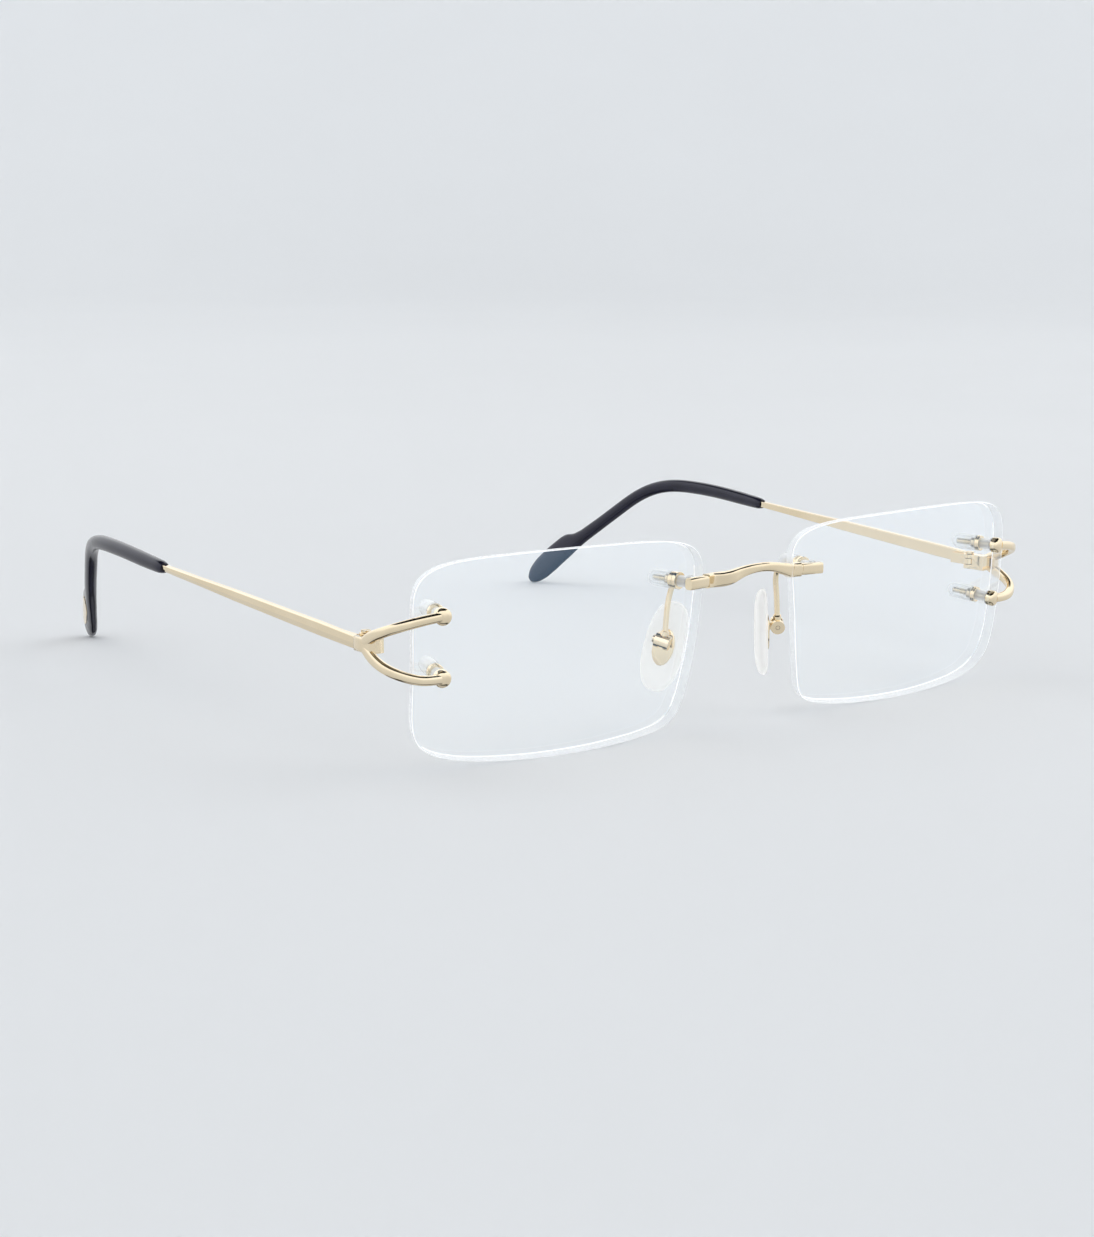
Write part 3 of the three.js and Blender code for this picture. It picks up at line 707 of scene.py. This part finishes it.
def nose_pad(side):
    levels = [
        (-1.0, 0.4, 0.5), (-1.0, 0.7, 0.82), (-0.97, 0.84, 0.91), (-0.85, 0.94, 0.97),
        (-0.6, 0.99, 0.995), (-0.4, 1, 1), (-0.1, 0.99, 0.995), (0.2, 0.95, 0.97), (0.5, 0.88, 0.93),
        (0.75, 0.78, 0.86), (0.98, 0.62, 0.74), (1.13, 0.45, 0.58), (1.22, 0.25, 0.36), (1.25, 0.08, 0.12),
    ]
    outline = loop(72, 2.4)
    rings = [
        [Vector((x, PAD_HALF_WIDTH * wide * c, PAD_HALF_HEIGHT * tall * s)) for c, s in outline]
        for x, wide, tall in levels
    ]
    name = f"nose_pad_{side}"
    piece = build(
        f"{name}_fine", placed(loft(rings), PAD_POSE), side, f"{side}_pad", [name],
        [SILICONE], 0, 60,
    )


def pad_arm(side):
    eyelet = LENS_THICK / 2 + 0.08
    bore = POST_RADIUS + CLEAR
    ring = placed(lathe([
        (bore, eyelet), (1.44, eyelet), (1.5, eyelet + 0.08), (1.5, eyelet + 0.67),
        (1.44, eyelet + 0.75), (bore, eyelet + 0.75),
    ]), post_matrix("nasal"))
    start = on_post("nasal", eyelet + 0.42)
    foot = PIVOT_POSE @ Vector((0, 0, 1.96))
    bends = [(-0.9, 0.1, 0), (-2.0, 1.2, -0.1), (-2.3, 3.4, -0.6), (-2.2, 4.4, -2.0), (-1.7, 4.9, -5.2)]
    knots = [start + Vector(bend) for bend in bends] + [foot]
    points = [Vector(row) for row in smooth_curve([tuple(k) for k in knots], 60)]
    wire = sweep([
        (p, along, loop(24, 2), 0.5, 0.5, 0.5) for p, along in zip(points, tangents(points))
    ], Vector((1, 0.3, 0)))
    name = f"pad_arm_{side}"
    build(f"{name}_fine", joined(ring, wire), side, "front", [name], [GOLD])


# ---- assembly -----------------------------------------------------------
bridge()
for side in SIDES:
    lens(side)
    for where in MOUNTS:
        stack(where, side)
    end_piece(side)
    temple(side)
    tip(side)
    tip_inlay(side)
    nose_pad(side)
    pad_arm(side)
    refined(f"hinge_front_{side}", "front", [GOLD], 0.12)
    refined(f"hinge_screw_{side}", "front", [GOLD], 0.04)
    refined(f"hinge_temple_{side}", f"{side}_temple", [GOLD], 0.12)
    refined(f"pad_box_{side}", "front", [GOLD], 0.4)
    refined(f"pad_screw_{side}", "front", [GOLD], 0.05)
    refined(f"pad_plate_{side}", f"{side}_pad", [GOLD], 0.06)


# ---- stage, light and camera --------------------------------------------
def stage_material():
    s = Shader("pale_floor")
    s.put(s.base, "Base Color", s.ramp(s.noise(3), (0.803, 0.819, 0.835), (0.818, 0.834, 0.85)))
    s.put(s.base, "Roughness", s.grey(s.noise(20), 0.75, 0.85))
    s.put(s.base, "Specular IOR Level", 0.15)
    return s.material


def stage():
    """A round floor that curves up into a wall, all in one."""
    flat, bend, wall = 1.3, 1.0, 2.6
    profile = [(r, 0) for r in (0.02, 0.2, 0.5, 0.9, flat)]
    profile += [
        (flat + bend * math.sin(a), bend * (1 - math.cos(a))) for a in np.linspace(0.08, math.pi / 2, 18)
    ]
    profile.append((flat + bend, wall))
    bm = bmesh.new()
    segments = 96
    angles = [2 * math.pi * i / segments for i in range(segments)]
    rings = [
        [bm.verts.new((r * math.cos(angle), r * math.sin(angle), z)) for angle in angles] for r, z in profile
    ]
    bm.faces.new(rings[0])
    for low, high in zip(rings, rings[1:]):
        for i in range(segments):
            j = (i + 1) % segments
            bm.faces.new((low[i], high[i], high[j], low[j]))
    mesh = bpy.data.meshes.new("floor")
    bm.to_mesh(mesh)
    bm.free()
    mesh.shade_smooth()
    mesh.materials.append(stage_material())
    floor = bpy.data.objects.new("floor", mesh)
    bpy.context.scene.collection.objects.link(floor)
    floor.visible_glossy = False


def area_light(name, centre, size, power, colour=(1, 1, 1)):
    """A rectangular light that looks at the object, and isn't itself mirrored in it."""
    data = bpy.data.lights.new(name, "AREA")
    data.shape = "RECTANGLE"
    data.size, data.size_y = size
    data.energy = power
    data.color = colour
    light = bpy.data.objects.new(name, data)
    bpy.context.scene.collection.objects.link(light)
    light.location = centre
    light.rotation_euler = (Vector((0, 0, 0)) - Vector(centre)).to_track_quat("-Z", "Y").to_euler()
    light.visible_glossy = False


def world():
    """Pale studio surroundings with dark bands, which show in the polished metal."""
    scene_world = bpy.data.worlds.new("studio")
    bpy.context.scene.world = scene_world
    scene_world.use_nodes = True
    nodes, links = scene_world.node_tree.nodes, scene_world.node_tree.links
    background = nodes["Background"]
    where = nodes.new("ShaderNodeTexCoord").outputs["Generated"]
    split = nodes.new("ShaderNodeSeparateXYZ")
    links.new(where, split.inputs[0])
    wander = nodes.new("ShaderNodeTexNoise")
    wander.inputs["Scale"].default_value = 1.6
    wander.inputs["Detail"].default_value = 0
    links.new(where, wander.inputs["Vector"])
    uneven = nodes.new("ShaderNodeMath")
    uneven.operation = "MULTIPLY_ADD"
    links.new(wander.outputs["Fac"], uneven.inputs[0])
    uneven.inputs[1].default_value = 0.3
    links.new(split.outputs["Z"], uneven.inputs[2])
    height = nodes.new("ShaderNodeMapRange")
    links.new(uneven.outputs[0], height.inputs["Value"])
    height.inputs["From Min"].default_value = -0.85
    height.inputs["From Max"].default_value = 1.15
    bands = nodes.new("ShaderNodeValToRGB")
    links.new(height.outputs["Result"], bands.inputs["Fac"])
    stops = [
        (0.0, 0.5), (0.07, 0.5), (0.08, 0.05), (0.13, 0.05), (0.14, 0.62), (0.3, 0.66), (0.45, 0.76),
        (0.56, 1.0), (0.83, 1.25), (0.85, 0.012), (0.975, 0.012), (0.985, 1.3), (1.0, 1.3),
    ]
    ramp = bands.color_ramp
    while len(ramp.elements) < len(stops):
        ramp.elements.new(0.5)
    for element, (place, value) in zip(ramp.elements, stops):
        element.position = place
        element.color = (value * 0.96, value * 0.98, value, 1)
    links.new(bands.outputs["Color"], background.inputs["Color"])
    background.inputs["Strength"].default_value = 1.1


def camera():
    azimuth, elevation, distance = math.radians(-36), math.radians(10.6), 463.70
    level = math.cos(elevation)
    back = Vector((math.sin(azimuth) * level, -math.cos(azimuth) * level, math.sin(elevation)))
    target = Vector((-7.94, 48.93, -5.12)) + SHIFT
    data = bpy.data.cameras.new("camera")
    data.sensor_width = 36
    data.lens = 71.31
    data.clip_start = 0.01
    data.dof.use_dof = False
    view = bpy.data.objects.new("camera", data)
    bpy.context.scene.collection.objects.link(view)
    view.location = (target + back * distance) * MM
    view.rotation_euler = (-back).to_track_quat("-Z", "Y").to_euler()
    bpy.context.scene.camera = view


bpy.context.scene.view_settings.view_transform = "Standard"
stage()
world()
area_light("key", (-0.5, 0.9, 1.5), (1.6, 1.6), 8, (1.0, 0.985, 0.97))
area_light("top", (0, 0, 3), (4, 4), 31)
area_light("fill", (1.2, -0.6, 1.2), (1.6, 1.4), 7, (1.0, 0.99, 0.98))
camera()
